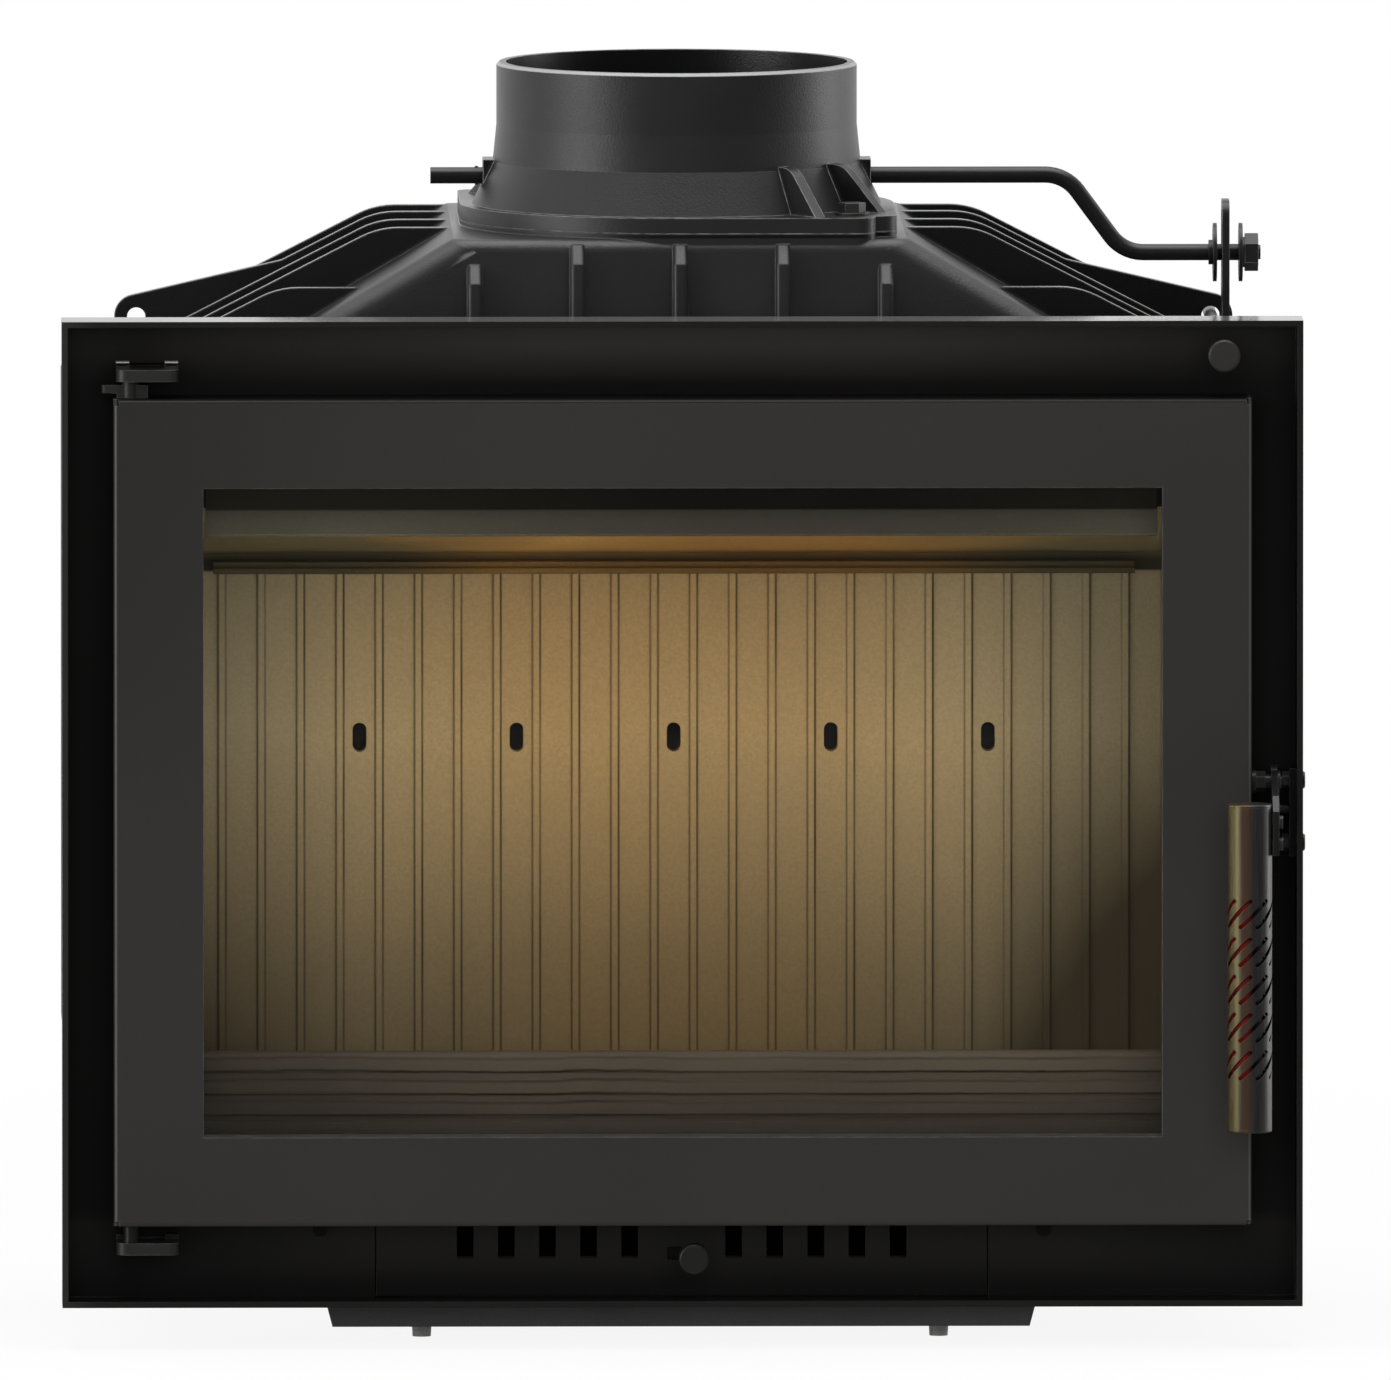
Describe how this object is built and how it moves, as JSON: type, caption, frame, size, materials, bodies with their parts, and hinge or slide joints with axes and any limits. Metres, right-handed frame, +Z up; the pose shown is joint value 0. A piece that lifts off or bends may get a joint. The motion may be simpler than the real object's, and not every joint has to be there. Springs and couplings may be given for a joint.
{
  "type": "cast iron fireplace insert",
  "caption": "Cast iron wood-burning fireplace insert: glazed door in a steel surround, finned firebox and hood, round flue collar with pull damper, ash drawer with air shutter.",
  "frame": {"origin": "on the floor under the middle of the insert's outline, level with the undersides of its feet", "axes": "+Z up through the flue collar, +X to the right as seen from the front, -Y out of the door"},
  "size_m": [0.6766, 0.432, 0.689],
  "materials": {
    "cast_iron": "matt black paint over fine cast grain",
    "hearth_iron": "raw cast iron, tanned by heat",
    "frame_steel": "matt black heatproof paint",
    "door_steel": "fine-textured graphite paint",
    "inner_steel": "dull grey sheet",
    "rod_steel": "satin black",
    "satin_steel": "satin brushed along the tube",
    "handle_core": "dark red-brown",
    "knob_steel": "dull dark nickel",
    "fasteners": "blackened steel",
    "glass": "clear ceramic glass, faintly amber",
    "rope_seal": "woven glass fibre"
  },
  "bodies": {
    "firebox": {"base_casting": "cast_iron", "left_side_wall": "cast_iron", "right_side_wall": "cast_iron", "back_wall": "cast_iron", "front_casting": "cast_iron", "hood_casting": "cast_iron", "flue_collar": "cast_iron", "fireback": "hearth_iron", "left_liner": "hearth_iron", "right_liner": "hearth_iron", "hearth_plate": "hearth_iron", "grate": "hearth_iron", "log_retainer": "hearth_iron", "baffle_plate": "hearth_iron", "baffle_rail": "hearth_iron", "front_frame": "frame_steel", "upper_hinge_bracket": "frame_steel", "lower_hinge_bracket": "frame_steel", "latch_keeper": "frame_steel", "air_deflector": "inner_steel", "hood_screws": "fasteners", "frame_screws": "fasteners", "wall_bolts": "fasteners", "collar_bolts": "fasteners", "collar_washers": "fasteners", "fireback_bolts": "fasteners", "upper_hinge_pin": "fasteners", "lower_hinge_pin": "fasteners", "keeper_bolts": "fasteners", "keeper_nuts": "fasteners", "keeper_pin": "fasteners", "support_feet": "fasteners"},
    "door": {"door_frame": "door_steel", "glass_tape": "rope_seal", "door_glass": "glass", "backing_frame": "door_steel", "backing_screws": "fasteners", "door_seal": "rope_seal", "hinge_strip": "door_steel", "latch_pivot_bolt": "fasteners", "pivot_clip": "fasteners"},
    "handle": {"latch_lever": "rod_steel", "handle_tube": "satin_steel", "handle_core": "handle_core", "handle_caps": "satin_steel", "handle_screws": "fasteners"},
    "ash_drawer": {"drawer_front": "frame_steel", "ash_pan": "inner_steel"},
    "air_shutter": {"shutter_plate": "frame_steel", "shutter_stem": "rod_steel", "shutter_knob": "knob_steel"},
    "damper": {"damper_disc": "cast_iron", "damper_rod": "rod_steel", "rod_washers": "rod_steel", "rod_nut": "rod_steel", "rod_split_pin": "rod_steel", "disc_screws": "rod_steel"},
    "damper_pull": {"pull_rod": "rod_steel", "pull_knob": "knob_steel", "link_plate": "rod_steel"}
  },
  "joints": [
    {"name": "door_hinge", "type": "hinge", "parent": "firebox", "child": "door", "pos_m": [-0.3, -0.154, 0.293], "axis": [0, 0, -1], "range_deg": [0, 110]},
    {"name": "handle_hinge", "type": "hinge", "parent": "door", "child": "handle", "pos_m": [0.32175, -0.158, 0.309], "axis": [-1, 0, 0], "range_deg": [0, 35]},
    {"name": "ash_drawer_slide", "type": "slide", "parent": "firebox", "child": "ash_drawer", "axis": [0, -1, 0], "range_m": [0, 0.22]},
    {"name": "air_shutter_slide", "type": "slide", "parent": "ash_drawer", "child": "air_shutter", "axis": [-1, 0, 0], "range_m": [0, 0.0106]},
    {"name": "damper_pull_slide", "type": "slide", "parent": "firebox", "child": "damper_pull", "axis": [0, -1, 0], "range_m": [0, 0.0363]},
    {"name": "damper_hinge", "type": "hinge", "parent": "firebox", "child": "damper", "pos_m": [0, 0.029, 0.6266], "axis": [-1, 0, 0], "range_deg": [0, 55]}
  ],
  "couplings": [
    {"joint": "damper_hinge", "follows": "damper_pull_slide", "rad_per_m": 26.37}
  ]
}
